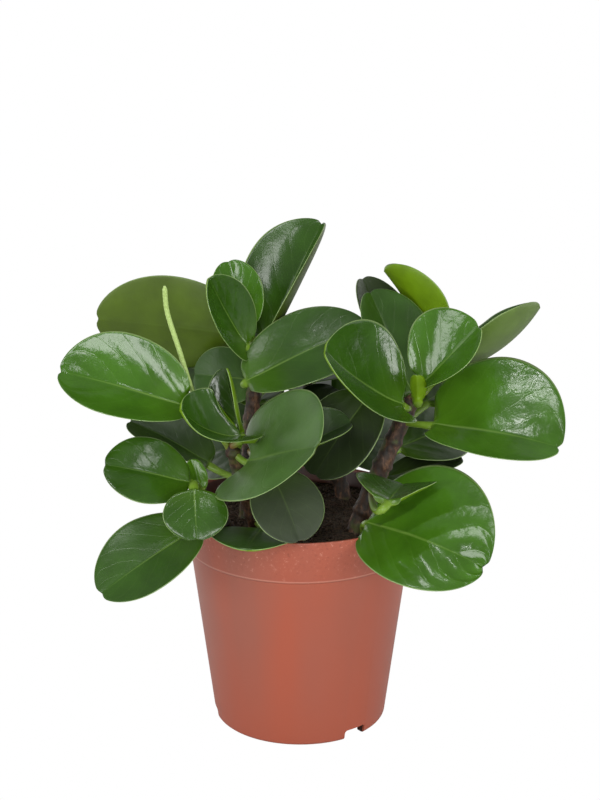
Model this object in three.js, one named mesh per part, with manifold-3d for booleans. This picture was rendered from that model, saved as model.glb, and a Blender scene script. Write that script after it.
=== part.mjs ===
// A potted peperomia: fleshy cupped leaves on short woody stems, in a tapered round plastic pot.
// Millimetres, +Z up. The origin is on the pot's axis, at the plane that its foot stands on.
// The front of the plant faces -Y.

import * as THREE from "three";
import { mergeVertices } from "three/addons/utils/BufferGeometryUtils.js";
import Module from "manifold-3d";

const wasm = await Module();
wasm.setup();

// Pot: straight sloping wall, a slightly wider band under the rim. The floor rests on a foot ring and on
// a round foot at its centre, and is raised between them
const potHeight = 115;
const rimRadius = 60;
const footRadius = 44.2;
const bandDepth = 22.5;
const bandStep = 1;
const potWall = 1.4;
const lipRadius = 0.7;
const footCorner = 2;
const footRingWidth = 5;
const floorLift = 6;
const floorThickness = 1.6;
const centreFootRadius = 18;
const centreFootSlope = 4;
const centreFootInset = 0.9;
const potFacets = 64;

// Drainage: arched notches through the foot, each with a round hole in the floor behind it
const notchAngles = [-51, 69, 189];
const notchWidth = 13;
const notchHeight = 5.4;
const notchCorner = 1.5;
const notchFlare = 0.6;
const drainRadius = 4;
const drainCircle = 31;

// Soil: fills the pot to just under the rim, a little higher in the middle
const soilEdge = 106;
const soilMound = 3;
const soilLump = 0.9;
const soilRings = 6;
const soilFacets = 44;

// Leaves: a thick fleshy blade that tapers to a thin edge, on a round petiole. The outline is a sine
// raised to a small power, which makes both ends blunt, and its fullest part lies past the middle.
// Across the blade, part of the curl is a fold at the midrib and the rest is spread over each half
const bladeThickness = 1.7;
const petioleRadius = 1.7;
const baseLobe = 4;
const baseBluntness = 0.4;
const tipBluntness = 0.5;
const fullestShift = 1.06;
const petioleKnee = 0.45;
const foldShare = 0.5;
const rowCrowding = 0.7;
const leafAround = 8;
const petioleRows = 4;
const bladeRows = 9;

// Gap left between pieces that touch
const gap = 0.3;

const degree = Math.PI / 180;

// Stems, each a cubic curve from the soil up: four control points, then the thickness at both ends
const stems = {
  stem_left: { path: [[-19, -16, 94], [-22, -24, 116], [-29, -34, 136], [-33, -39, 157]], radii: [4.2, 3] },
  stem_tall: { path: [[-27, -5, 94], [-25, -6, 130], [-27, -4, 160], [-20, 0, 190]], radii: [4.6, 3.2] },
  stem_low: { path: [[-27, -24, 94], [-32, -30, 112], [-42, -40, 122], [-48, -46, 135]], radii: [3.4, 2.6] },
  stem_right: { path: [[25, -24, 94], [31, -24, 122], [43, -18, 146], [56, -16, 176]], radii: [5.6, 3.8] },
  stem_front: { path: [[29, -32, 96], [31, -35, 106], [34, -36, 112], [36, -34, 117]], radii: [3, 2.4] },
  stem_back: { path: [[25, 20, 94], [24, 26, 120], [8, 34, 142], [4, 34, 168]], radii: [4.4, 3] },
};
const stemAround = 10;
const stemRows = 14;
const nodeSwell = 0.7;
const nodeSpacing = 13;
const stemTipNarrowing = 0.55;

// Leaves, by stem: where the petiole leaves the stem (0 to 1 up it), the blade's base and tip and
// its width, then in degrees the turn of its face about its own length, its droop along the length,
// and how far each half curls up at the base and at the tip. A lobe is how far the blade's base
// reaches back round the petiole, a lean makes that longer on one half and shorter on the other, and
// a skew makes one half wider than the other
const leaves = {
  leaf_top: { on: "stem_tall", at: 1, base: [-17, 19, 191], tip: [12, 33, 253],
    width: 60, roll: 13, bend: 10, cup: [100, 70] },
  leaf_top_left: { on: "stem_tall", at: 0.99, base: [-27, 5, 206], tip: [-36, 15, 237],
    width: 28, roll: -30, bend: 10, cup: [60, 35] },
  leaf_top_scoop: { on: "stem_tall", at: 0.97, base: [-27, -6, 199], tip: [-44, -20, 236],
    width: 31, roll: -82, bend: -15, cup: [62, 48], lobe: 10, lean: -8 },
  leaf_middle_dark: { on: "stem_tall", at: 0.9, base: [-26, -14, 182], tip: [34, 0, 207],
    width: 44, roll: 40, bend: 20, cup: [40, 15] },
  leaf_top_bright: { on: "stem_tall", at: 0.95, base: [-6, -3, 196], tip: [1, 13, 210],
    width: 14, roll: 15, bend: 10, cup: [30, 20] },
  leaf_left_pale: { on: "stem_tall", at: 0.93, base: [-28, 14, 199], tip: [-104, 24, 205],
    width: 52, roll: 80, bend: 10, cup: [25, 10] },
  leaf_left_inner: { on: "stem_tall", at: 0.82, base: [-22, 4, 178], tip: [-54, 16, 178],
    width: 31, roll: -70, bend: 20, cup: [30, 20] },
  leaf_left_scoop: { on: "stem_left", at: 1, base: [-28, -44, 163], tip: [-56, -58, 182],
    width: 42, roll: -32, bend: -60, cup: [125, 25], lobe: 6, lean: -20 },
  leaf_left_upright: { on: "stem_left", at: 0.93, base: [-29, -33, 163], tip: [-36, -29, 194],
    width: 26, roll: -100, bend: 0, cup: [100, 80] },
  leaf_front_big: { on: "stem_left", at: 0.96, base: [-24, -46, 151], tip: [8, -90, 173],
    width: 68, roll: 44, bend: 10, cup: [45, 15], lobe: 26, lean: -4 },
  leaf_left_big: { on: "stem_left", at: 0.86, base: [-55, -40, 177], tip: [-114, -48, 197],
    width: 55, roll: -48, bend: 15, cup: [75, 50] },
  leaf_left_dark: { on: "stem_left", at: 0.7, base: [-45, -25, 143], tip: [-85, -15, 162],
    width: 36, roll: -15, bend: 20, cup: [50, 25] },
  leaf_front_low: { on: "stem_left", at: 0.75, base: [-13, -45, 144], tip: [0, -69, 119],
    width: 36, roll: 10, bend: 20, cup: [20, 10] },
  leaf_rim: { on: "stem_left", at: 0.3, base: [-19, -40, 114], tip: [-25, -74, 117],
    width: 44, roll: 0, bend: 10, cup: [15, 10] },
  leaf_low_dark: { on: "stem_low", at: 0.97, base: [-53, -50, 142], tip: [-93, -58, 154],
    width: 35, roll: -50, bend: 20, cup: [35, 10], lobe: 0 },
  leaf_low_round: { on: "stem_low", at: 0.9, base: [-50, -63, 143], tip: [-48, -80, 124],
    width: 31, roll: 0, bend: 20, cup: [20, 10], lobe: 0 },
  leaf_low_left: { on: "stem_low", at: 0.7, base: [-50, -54, 120], tip: [-94, -78, 96],
    width: 42, roll: -30, bend: 15, cup: [40, 25] },
  leaf_low_young: { on: "stem_low", at: 1, base: [-48, -42, 137], tip: [-53, -40, 151],
    width: 11, roll: -40, bend: 0, cup: [50, 40] },
  leaf_centre_dark: { on: "stem_right", at: 0.9, base: [34, -18, 176], tip: [7, -38, 141],
    width: 42, roll: -20, bend: 20, cup: [20, 10] },
  leaf_centre_pale: { on: "stem_tall", at: 0.5, base: [-1, -44, 157], tip: [25, -40, 169],
    width: 32, roll: 20, bend: 10, cup: [70, 50] },
  leaf_centre_back: { on: "stem_tall", at: 0.6, base: [0, -6, 158], tip: [18, 8, 173],
    width: 26, roll: 20, bend: 10, cup: [20, 10] },
  leaf_right_scoop: { on: "stem_right", at: 0.93, base: [50, -25, 173], tip: [11, -46, 207],
    width: 60, roll: -48, bend: -25, cup: [72, 42], lobe: 8, lean: -10, skew: 0.05 },
  leaf_right_cup: { on: "stem_right", at: 0.98, base: [60, -22, 183], tip: [86, -30, 215],
    width: 48, roll: 50, bend: 0, cup: [90, 35], lobe: 0, skew: -0.08 },
  leaf_right_young: { on: "stem_right", at: 1, base: [57, -31, 178], tip: [56, -36, 192],
    width: 10, roll: 0, bend: 0, cup: [70, 60] },
  leaf_right_back: { on: "stem_right", at: 0.9, base: [55, -6, 173], tip: [34, 8, 223],
    width: 48, roll: -12, bend: 10, cup: [50, 35] },
  leaf_right_behind: { on: "stem_right", at: 0.82, base: [53, 14, 173], tip: [31, 30, 225],
    width: 38, roll: -10, bend: 10, cup: [50, 35] },
  leaf_right_top: { on: "stem_right", at: 0.96, base: [67, 18, 190], tip: [42, 26, 231],
    width: 54, roll: 22, bend: 20, cup: [95, 70] },
  leaf_right_pale: { on: "stem_right", at: 0.77, base: [81, 4, 185], tip: [120, 10, 216],
    width: 58, roll: -18, bend: -40, cup: [75, 55] },
  leaf_right_big: { on: "stem_right", at: 0.85, base: [65, -28, 164], tip: [124, -52, 160],
    width: 68, roll: 27, bend: 20, cup: [45, 30], lobe: 12, skew: -0.25 },
  leaf_right_fold: { on: "stem_right", at: 0.42, base: [45, 6, 125], tip: [84, 14, 133],
    width: 20, roll: 20, bend: 20, cup: [40, 20] },
  leaf_right_low_cup: { on: "stem_right", at: 0.42, base: [41, -70, 139], tip: [50, -46, 140],
    width: 43, roll: 0, bend: 10, cup: [60, 30] },
  leaf_right_low: { on: "stem_front", at: 0.5, base: [33, -44, 119], tip: [87, -80, 110],
    width: 66, roll: 42, bend: 45, cup: [30, 20], skew: -0.15 },
  leaf_back_tall_low: { on: "stem_tall", at: 0.72, base: [-24, 16, 162], tip: [-30, 60, 162],
    width: 42, roll: 0, bend: 20, cup: [25, 10] },
  leaf_back_tall_left: { on: "stem_tall", at: 0.76, base: [-42, 30, 171], tip: [-84, 56, 178],
    width: 44, roll: -30, bend: 20, cup: [25, 10] },
  leaf_back_tall_right: { on: "stem_tall", at: 0.74, base: [-12, 14, 174], tip: [29, 44, 176],
    width: 40, roll: 10, bend: 20, cup: [25, 10] },
  leaf_back_top: { on: "stem_back", at: 1, base: [6, 46, 166], tip: [12, 82, 190],
    width: 40, roll: 0, bend: 20, cup: [30, 15] },
  leaf_back_left: { on: "stem_back", at: 0.95, base: [-12, 48, 150], tip: [-52, 82, 154],
    width: 44, roll: -40, bend: 20, cup: [25, 10] },
  leaf_back_right: { on: "stem_back", at: 0.9, base: [20, 44, 156], tip: [62, 74, 164],
    width: 42, roll: 40, bend: 20, cup: [25, 10] },
  leaf_back_middle: { on: "stem_back", at: 0.75, base: [6, 50, 156], tip: [10, 98, 152],
    width: 46, roll: 0, bend: 25, cup: [25, 10] },
  leaf_back_low_left: { on: "stem_back", at: 0.5, base: [-14, 40, 130], tip: [-53, 57, 121],
    width: 50, roll: -30, bend: 25, cup: [20, 10] },
  leaf_back_low_right: { on: "stem_back", at: 0.55, base: [18, 44, 132], tip: [60, 74, 123],
    width: 50, roll: 42, bend: 25, cup: [20, 10] },
  leaf_back_side: { on: "stem_right", at: 0.74, base: [64, 4, 166], tip: [98, 44, 172],
    width: 42, roll: 15, bend: 20, cup: [25, 10] },
  leaf_back_side_low: { on: "stem_right", at: 0.58, base: [50, 4, 142], tip: [84, 42, 142],
    width: 40, roll: 35, bend: 20, cup: [25, 10] },
};

// Flower spike: slender, upright, on a bare stalk from the left stem
const spikePoints = [
  [-31, -35, 152],
  [-42, -31, 164],
  [-50, -33, 178],
  [-58, -34, 205],
  [-63, -33, 222],
  [-64, -34, 235],
];
const spikeRadius = 1.85;
const spikeStalkRadius = 1.25;
const spikeStalkShare = 0.3;

// A closed body from a sphere's grid: pointAt gives the place of each row and turn of it
function skin(around, along, pointAt) {
  const grid = new THREE.SphereGeometry(1, around, along);
  const position = grid.attributes.position;
  for (let i = 0; i < position.count; i++) {
    const row = Math.floor(i / (around + 1));
    const turn = (i % (around + 1)) % around;
    const point = pointAt(row, (2 * Math.PI * turn) / around);
    position.setXYZ(i, point.x, point.y, point.z);
  }
  return grid;
}

// Only position is kept, so that vertices shared by two faces merge
function welded(geometry) {
  const plain = geometry.clone();
  plain.deleteAttribute("normal");
  plain.deleteAttribute("uv");
  return mergeVertices(plain, 1e-4);
}

function solid(geometry) {
  const closed = welded(geometry);
  return new wasm.Manifold(
    new wasm.Mesh({
      numProp: 3,
      vertProperties: new Float32Array(closed.attributes.position.array),
      triVerts: new Uint32Array(closed.index.array),
    }),
  );
}

function geometryOf(body) {
  const mesh = body.getMesh();
  const geometry = new THREE.BufferGeometry();
  geometry.setAttribute("position", new THREE.BufferAttribute(mesh.vertProperties, 3));
  geometry.setIndex(new THREE.BufferAttribute(mesh.triVerts, 1));
  geometry.computeVertexNormals();
  return geometry;
}

// The largest piece of a cut body, so that no loose crumb of it stays inside its neighbour
function largest(body) {
  const pieces = body.decompose();
  pieces.sort((a, b) => b.volume() - a.volume());
  return pieces[0];
}

const vector = (list) => new THREE.Vector3(...list);
const mix = THREE.MathUtils.lerp;

const plant = new THREE.Group();

function add(name, body, color, roughness) {
  const material = new THREE.MeshStandardMaterial({ color, roughness, metalness: 0 });
  const mesh = new THREE.Mesh(geometryOf(body), material);
  mesh.name = name;
  plant.add(mesh);
}

// The wall's outer radius at a height, without the band
function wallRadius(z) {
  return mix(footRadius, rimRadius - bandStep, z / potHeight);
}

function arc(centreX, centreZ, radius, from, to, steps) {
  const points = [];
  for (let i = 0; i <= steps; i++) {
    const angle = mix(from, to, i / steps) * degree;
    points.push(new THREE.Vector2(centreX + radius * Math.cos(angle), centreZ + radius * Math.sin(angle)));
  }
  return points;
}

function potBody() {
  const bandLine = potHeight - bandDepth;
  const floorTop = floorLift + floorThickness;
  const footInside = footRadius - footRingWidth;
  const at = (x, z) => new THREE.Vector2(x, z);
  const profile = [
    at(0, 0),
    at(centreFootRadius, 0),
    at(centreFootRadius + centreFootSlope, floorLift),
    at(footInside, floorLift),
    at(footInside, 0),
    ...arc(wallRadius(footCorner) - footCorner, footCorner, footCorner, -90, 0, 3),
    at(wallRadius(bandLine), bandLine),
    at(wallRadius(bandLine) + bandStep, bandLine + bandStep),
    ...arc(rimRadius - lipRadius, potHeight - lipRadius, lipRadius, 0, 180, 4),
    at(wallRadius(bandLine) + bandStep - potWall, bandLine + bandStep),
    at(wallRadius(bandLine) - potWall, bandLine),
    at(wallRadius(floorTop + footCorner) - potWall, floorTop + footCorner),
    at(wallRadius(floorTop) - potWall - footCorner, floorTop),
    at(centreFootRadius + centreFootSlope - centreFootInset, floorTop),
    at(centreFootRadius - centreFootInset, floorThickness),
    at(0, floorThickness),
  ];
  let body = solid(new THREE.LatheGeometry(profile, potFacets).rotateX(Math.PI / 2));
  for (const angle of notchAngles) {
    body = body.subtract(notchCutter(angle));
    const hole = new THREE.CylinderGeometry(drainRadius, drainRadius, 4 * floorThickness, 16);
    hole.rotateX(Math.PI / 2).translate(drainCircle, 0, floorLift).rotateZ(angle * degree);
    body = body.subtract(solid(hole));
  }
  return body;
}

// An arch with rounded top corners, drawn upright and pushed out through the foot
function notchCutter(angle) {
  const half = notchWidth / 2;
  const arch = new THREE.Shape();
  arch.moveTo(-half - notchFlare, -1);
  arch.lineTo(half + notchFlare, -1);
  arch.lineTo(half, notchHeight - notchCorner);
  arch.quadraticCurveTo(half, notchHeight, half - notchCorner, notchHeight);
  arch.lineTo(notchCorner - half, notchHeight);
  arch.quadraticCurveTo(-half, notchHeight, -half, notchHeight - notchCorner);
  const depth = 2 * footRingWidth + footCorner;
  const cutter = new THREE.ExtrudeGeometry(arch, { depth, bevelEnabled: false, curveSegments: 3 });
  cutter.rotateX(Math.PI / 2).rotateZ(Math.PI / 2);
  return solid(cutter.translate(footRadius - 1.5 * footRingWidth, 0, 0).rotateZ(angle * degree));
}

// The soil's top is slightly uneven, as pressed by hand round the stems
function lump(x, y) {
  return soilLump * (Math.sin(x / 6 + 1) * Math.cos(y / 8) + 0.6 * Math.sin(x / 3.3 - y / 4.6));
}

function soilBody() {
  const bottom = floorLift + floorThickness + gap;
  const corner = footCorner + 1;
  const side = (z) => wallRadius(z) - potWall - 1.5 * gap;
  const centre = centreFootRadius - centreFootInset - 1.5 * gap;
  const profile = [
    new THREE.Vector2(0, floorThickness + gap),
    new THREE.Vector2(centre, floorThickness + gap),
    new THREE.Vector2(centre + centreFootSlope, bottom),
    new THREE.Vector2(side(bottom) - corner, bottom),
    new THREE.Vector2(side(bottom + corner), bottom + corner),
    new THREE.Vector2(side(potHeight - bandDepth - 1), potHeight - bandDepth - 1),
  ];
  const topEdge = side(soilEdge);
  for (let i = soilRings; i >= 0; i--) {
    const share = i / soilRings;
    profile.push(new THREE.Vector2(topEdge * share, soilEdge + soilMound * (1 - share * share)));
  }
  const lathe = new THREE.LatheGeometry(profile, soilFacets).rotateX(Math.PI / 2);
  const position = lathe.attributes.position;
  for (let i = 0; i < position.count; i++) {
    const [x, y, z] = [position.getX(i), position.getY(i), position.getZ(i)];
    if (z > soilEdge - 0.1 && Math.hypot(x, y) < topEdge - 0.1) {
      position.setZ(i, z + lump(x, y));
    }
  }
  return solid(lathe);
}

function stemCurve(name) {
  return new THREE.CubicBezierCurve3(...stems[name].path.map(vector));
}

// A round rod along a curve. Its ends close flat
function rod(curve, radiusAt, around, rows) {
  const side = new THREE.Vector3();
  const out = new THREE.Vector3();
  return skin(around, rows, (row, angle) => {
    const t = THREE.MathUtils.clamp((row - 1) / (rows - 2), 0, 1);
    const along = curve.getTangent(t);
    side.set(1, 0, 0).addScaledVector(along, -along.x).normalize();
    out.crossVectors(side, along);
    const radius = row === 0 || row === rows ? 0 : radiusAt(t);
    return curve
      .getPoint(t)
      .addScaledVector(side, radius * Math.cos(angle))
      .addScaledVector(out, radius * Math.sin(angle));
  });
}

// Stems swell a little at each leaf scar, and narrow at the growing end
function stemBody(name, extra) {
  const [bottom, top] = stems[name].radii;
  const curve = stemCurve(name);
  const scars = curve.getLength() / nodeSpacing;
  const radiusAt = (t) => {
    const swell = nodeSwell * Math.max(0, Math.cos(2 * Math.PI * scars * t)) ** 3;
    const narrowing = t === 1 ? stemTipNarrowing : 1;
    return (mix(bottom, top, t) + swell) * narrowing + extra;
  };
  return solid(rod(curve, radiusAt, stemAround, stemRows));
}

// Half the blade's width at v, from 0 at its base to 1 at its tip
function outline(leaf, v) {
  const bluntness = mix(baseBluntness, tipBluntness, v);
  const half = (leaf.width / 2) * Math.sin(Math.PI * v ** fullestShift) ** bluntness;
  return Math.max(half, petioleRadius * (1 - v));
}

// The blade's midrib is an arc from base to tip. Along, side and up follow it
function leafFrame(leaf) {
  const base = vector(leaf.base);
  const chord = vector(leaf.tip).sub(base);
  const length = chord.length();
  const forward = chord.normalize();
  const flatSide = new THREE.Vector3().crossVectors(forward, new THREE.Vector3(0, 0, 1)).normalize();
  const flatUp = new THREE.Vector3().crossVectors(flatSide, forward);
  const cosRoll = Math.cos(leaf.roll * degree);
  const sinRoll = Math.sin(leaf.roll * degree);
  const side = flatSide.clone().multiplyScalar(cosRoll).addScaledVector(flatUp, -sinRoll);
  const lift = flatUp.multiplyScalar(cosRoll).addScaledVector(flatSide, sinRoll);
  const bend = (leaf.bend || 1) * degree;
  const radius = length / (2 * Math.sin(bend / 2));
  const slope = (v) => bend * (0.5 - v);
  const turned = (a, b, angle) =>
    a.clone().multiplyScalar(Math.cos(angle)).addScaledVector(b, Math.sin(angle));
  const midrib = (v) =>
    base
      .clone()
      .addScaledVector(forward, radius * (Math.sin(bend / 2) - Math.sin(slope(v))))
      .addScaledVector(lift, radius * (Math.cos(slope(v)) - Math.cos(bend / 2)));
  const along = (v) => turned(forward, lift, slope(v));
  const up = (v) => turned(lift, forward, -slope(v));

  const root = stemCurve(leaf.on).getPoint(leaf.at);
  const knee = base.clone().addScaledVector(along(0), -petioleKnee * root.distanceTo(base));
  const petiole = new THREE.QuadraticBezierCurve3(root, knee, base);
  return { side, midrib, along, up, petiole };
}

function petioleBody(leaf, extra) {
  return solid(rod(leafFrame(leaf).petiole, () => petioleRadius + extra, leafAround, petioleRows + 2));
}

// Petiole and blade are one skin: round rows up the petiole, then flat curled rows along the blade
function leafBody(leaf) {
  const { side, midrib, along, up, petiole } = leafFrame(leaf);
  const rows = petioleRows + bladeRows;
  const petioleRow = (row, angle) => {
    const t = Math.max(0, row - 1) / (petioleRows - 1);
    const heading = petiole.getTangent(t);
    const across = side.clone().addScaledVector(heading, -side.dot(heading)).normalize();
    const above = new THREE.Vector3().crossVectors(across, heading);
    const radius = row === 0 ? 0 : petioleRadius;
    return petiole
      .getPoint(t)
      .addScaledVector(across, radius * Math.cos(angle))
      .addScaledVector(above, radius * Math.sin(angle));
  };
  const bladeRow = (row, angle) => {
    const share = (row - petioleRows) / bladeRows;
    const v = mix(share, Math.sin((share * Math.PI) / 2), rowCrowding);
    const closed = row === rows ? 0 : 1;
    const half = closed * outline(leaf, v) * (1 + (leaf.skew ?? 0) * Math.cos(angle));
    const halfThick = closed * mix(petioleRadius, bladeThickness / 2, Math.min(1, 5 * v)) * Math.sin(angle);
    const curl = Math.max(1, mix(leaf.cup[0], leaf.cup[1], v)) * degree;
    const u = Math.cos(angle);
    const turn = curl * u;
    const lobe = (leaf.lobe ?? baseLobe) + (leaf.lean ?? 0) * u;
    const sweep = lobe * u ** 2 * ((2 * half) / leaf.width) * (1 - v) ** 2;
    const reach = ((2 * half) / curl) * Math.sin(curl / 2);
    const lateral = mix((half / curl) * Math.sin(turn), reach * Math.cos(curl / 2) * u, foldShare);
    const foldRise = reach * Math.sin(curl / 2) * Math.abs(u);
    const rise = mix((half / curl) * (1 - Math.cos(turn)), foldRise, foldShare);
    return midrib(v)
      .addScaledVector(along(v), -sweep)
      .addScaledVector(side, lateral - halfThick * Math.sin(turn))
      .addScaledVector(up(v), rise + halfThick * Math.cos(turn));
  };
  const pointAt = (row, angle) => (row < petioleRows ? petioleRow(row, angle) : bladeRow(row, angle));
  return solid(skin(leafAround, rows, pointAt));
}

function spikeBody() {
  const curve = new THREE.CatmullRomCurve3(spikePoints.map(vector));
  const radiusAt = (t) => {
    const share = Math.max(0, (t - spikeStalkShare) / (1 - spikeStalkShare));
    return mix(spikeStalkRadius, spikeRadius, Math.sin(Math.PI * Math.min(0.8, share)));
  };
  return solid(rod(curve, radiusAt, 8, 16));
}

// Each stem makes room for the stems before it
let wood = null;
const stemBodies = {};
for (const name of Object.keys(stems)) {
  const whole = stemBody(name, 0);
  stemBodies[name] = wood ? largest(whole.subtract(wood)) : whole;
  const swollen = stemBody(name, gap);
  wood = wood ? wood.add(swollen) : swollen;
}

add("pot", potBody(), "#b0604a", 0.45);
add("soil", largest(soilBody().subtract(wood)), "#2b211b", 0.95);
for (const [name, body] of Object.entries(stemBodies)) {
  add(name, body, "#6d4a38", 0.8);
}

// Each leaf makes room for the stems and for the petioles before it
let stalks = wood;
for (const [name, leaf] of Object.entries(leaves)) {
  add(name, largest(leafBody(leaf).subtract(stalks)), "#2f6b34", 0.3);
  stalks = stalks.add(petioleBody(leaf, gap));
}
add("flower_spike", largest(spikeBody().subtract(stalks)), "#b9cf7a", 0.6);

export default plant;
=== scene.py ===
import math
import random
from functools import partial
import bpy
import bmesh
from mathutils import Matrix, Vector, noise


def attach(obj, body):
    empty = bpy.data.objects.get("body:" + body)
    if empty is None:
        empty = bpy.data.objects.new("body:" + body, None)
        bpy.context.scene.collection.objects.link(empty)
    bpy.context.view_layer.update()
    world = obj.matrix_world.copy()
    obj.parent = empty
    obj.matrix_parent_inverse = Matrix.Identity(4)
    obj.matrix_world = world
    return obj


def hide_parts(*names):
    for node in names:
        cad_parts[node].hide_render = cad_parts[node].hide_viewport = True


# A potted peperomia: waxy cupped leaves on corky stems, peat, and a moulded nursery pot.
# Sizes here are in millimetres, and each piece is turned to metres as it is finished.

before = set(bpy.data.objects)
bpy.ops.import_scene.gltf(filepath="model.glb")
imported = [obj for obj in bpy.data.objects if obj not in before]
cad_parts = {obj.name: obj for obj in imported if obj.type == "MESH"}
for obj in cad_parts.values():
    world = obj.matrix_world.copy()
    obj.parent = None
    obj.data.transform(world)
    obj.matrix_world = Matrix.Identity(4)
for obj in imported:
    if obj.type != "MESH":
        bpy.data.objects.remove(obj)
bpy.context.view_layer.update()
scene = bpy.context.scene
perMetre = 1000  # millimetres in a metre
random.seed(7)
print("frame loaded,", len(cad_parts), "nodes")


def linearColour(hexText):
    channels = []
    for i in (1, 3, 5):
        c = int(hexText[i:i + 2], 16) / 255
        channels.append(c / 12.92 if c <= 0.04045 else ((c + 0.055) / 1.055) ** 2.4)
    return (*channels, 1.0)


# One node with its settings. An input that is given a node or one of its outputs is linked to it
def addNode(material, kind, inputs=None, **settings):
    node = material.node_tree.nodes.new("ShaderNode" + kind)
    for name, value in settings.items():
        setattr(node, name, value)
    for name, value in (inputs or {}).items():
        if isinstance(value, bpy.types.Node):
            value = next(output for output in value.outputs if output.enabled)
        if isinstance(value, bpy.types.NodeSocket):
            material.node_tree.links.new(value, node.inputs[name])
        else:
            node.inputs[name].default_value = value
    return node


# An empty material, and addNode for it
def newMaterial(name):
    material = bpy.data.materials.new(name)
    material.use_nodes = True
    material.node_tree.nodes.clear()
    return material, partial(addNode, material)


def clamp(value, low=0.0, high=1.0):
    return min(high, max(low, value))


def mix(a, b, t):
    return a + (b - a) * t


def smoothStep(t):
    t = clamp(t)
    return t * t * (3 - 2 * t)


# A rod narrows over the last share of its length
def taper(t, narrow, share):
    return mix(narrow, 1, smoothStep((1 - t) / share))


# Where a vertex of a sphere lies: its share of the way up from pole to pole, and its angle round
def onSphere(vert):
    return 1 - math.acos(clamp(vert.co.z, -1, 1)) / math.pi, math.atan2(vert.co.y, vert.co.x)


# A profile of vertices and edges spun round the pot's axis to a closed shell
def spinProfile(bm, steps):
    bmesh.ops.spin(bm, geom=bm.verts[:] + bm.edges[:], axis=(0, 0, 1), cent=(0, 0, 0), dvec=(0, 0, 0),
                   angle=math.tau, steps=steps, use_merge=True, use_duplicate=False)
    bmesh.ops.remove_doubles(bm, verts=bm.verts, dist=0.001)
    bmesh.ops.recalc_face_normals(bm, faces=bm.faces)


# A mesh in metres from one in millimetres, and its object at the origin
def newObject(name, bm, scale=1 / perMetre):
    bmesh.ops.scale(bm, vec=[scale] * 3, verts=bm.verts)
    mesh = bpy.data.meshes.new(name)
    bm.to_mesh(mesh)
    bm.free()
    made = bpy.data.objects.new(name, mesh)
    scene.collection.objects.link(made)
    return made


# A finished piece: smooth, riding on the part's one body, standing for its node
def finishPiece(name, bm, material, replaced):
    for face in bm.faces:
        face.smooth = True
    piece = newObject(name, bm)
    piece.data.materials.append(material)
    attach(piece, "root")
    if replaced:
        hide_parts(replaced)
    return piece


# Camera, floor and light, in metres
view = {
    "place": (0.0, -0.850, 0.419),
    "pitchDown": 16.4,
    "lens": 79.56,
    "sensor": 36.0,
    "floorHalf": 9.0,
    "floorColour": "#d2d2d2",
    "floorRoughness": 0.95,
    "skyStrength": 0.36,
    "aim": (0.0, 0.0, 0.16),
    # degrees round from the front, degrees up, distance, width, height, power
    "lamps": {
        "main softbox": (-6, 30, 1.25, 0.36, 0.46, 4.6),
        "low softbox": (5, 2, 1.3, 0.26, 0.34, 3.0),
        "left softbox": (-45, 8, 1.3, 0.50, 0.28, 3.6),
        "high softbox": (-11, 69, 1.0, 0.06, 0.06, 0.5),
        "top softbox": (0, 86, 0.9, 0.08, 0.08, 0.6),
        "right softbox": (33, 42, 1.2, 0.10, 0.16, 0.6),
        "right low softbox": (39, 7, 1.3, 0.42, 0.24, 3.4),
        "left back panel": (-142, 8, 1.3, 0.8, 0.8, 3.0),
        "right back panel": (142, 8, 1.3, 0.8, 0.8, 3.0),
        "left panel": (-94, 8, 1.2, 0.9, 0.9, 3.6),
        "right panel": (94, 8, 1.2, 0.9, 0.9, 3.6),
    },
}

cameraData = bpy.data.cameras.new("camera")
cameraData.lens = view["lens"]
cameraData.sensor_width = view["sensor"]
camera = bpy.data.objects.new("camera", cameraData)
camera.location = view["place"]
camera.rotation_euler = (math.radians(90 - view["pitchDown"]), 0, 0)
scene.collection.objects.link(camera)
scene.camera = camera

# The floor and the room are pure white where they are seen, and dimmer as light on the plant
floorPaint, add = newMaterial("matt white studio floor")
litFloor = add("BsdfPrincipled", {"Base Color": linearColour(view["floorColour"]),
                                  "Roughness": view["floorRoughness"], "Specular IOR Level": 0.0})
seenFloor = add("MixShader", {0: add("LightPath").outputs["Is Camera Ray"], 1: litFloor,
                              2: add("Emission", {"Strength": 1.0})})
add("OutputMaterial", {"Surface": seenFloor})
floorGrid = bmesh.new()
bmesh.ops.create_grid(floorGrid, x_segments=1, y_segments=1, size=view["floorHalf"])
floor = newObject("floor", floorGrid, 1)
floor.data.materials.append(floorPaint)

world = bpy.data.worlds.new("white studio")
scene.world = world
world.use_nodes = True
world.node_tree.nodes.clear()
add = partial(addNode, world)
litRoom = add("Background", {"Color": (1, 1, 1, 1), "Strength": view["skyStrength"]})
seenRoom = add("MixShader", {0: add("LightPath").outputs["Is Camera Ray"], 1: litRoom,
                             2: add("Background", {"Color": (1, 1, 1, 1), "Strength": 1.0})})
add("OutputWorld", {"Surface": seenRoom})
scene.view_settings.view_transform = "Standard"

for lampName, (side, up, away, width, tall, power) in view["lamps"].items():
    side, up = math.radians(side), math.radians(up)
    heading = Vector((math.sin(side) * math.cos(up), -math.cos(side) * math.cos(up), math.sin(up)))
    lampData = bpy.data.lights.new(lampName, "AREA")
    lampData.shape = "RECTANGLE"
    lampData.size = width
    lampData.size_y = tall
    lampData.energy = power
    softbox = bpy.data.objects.new(lampName, lampData)
    softbox.location = Vector(view["aim"]) + heading * away
    softbox.rotation_euler = heading.to_track_quat("Z", "Y").to_euler()
    scene.collection.objects.link(softbox)
print("camera, floor and lights placed")


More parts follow.
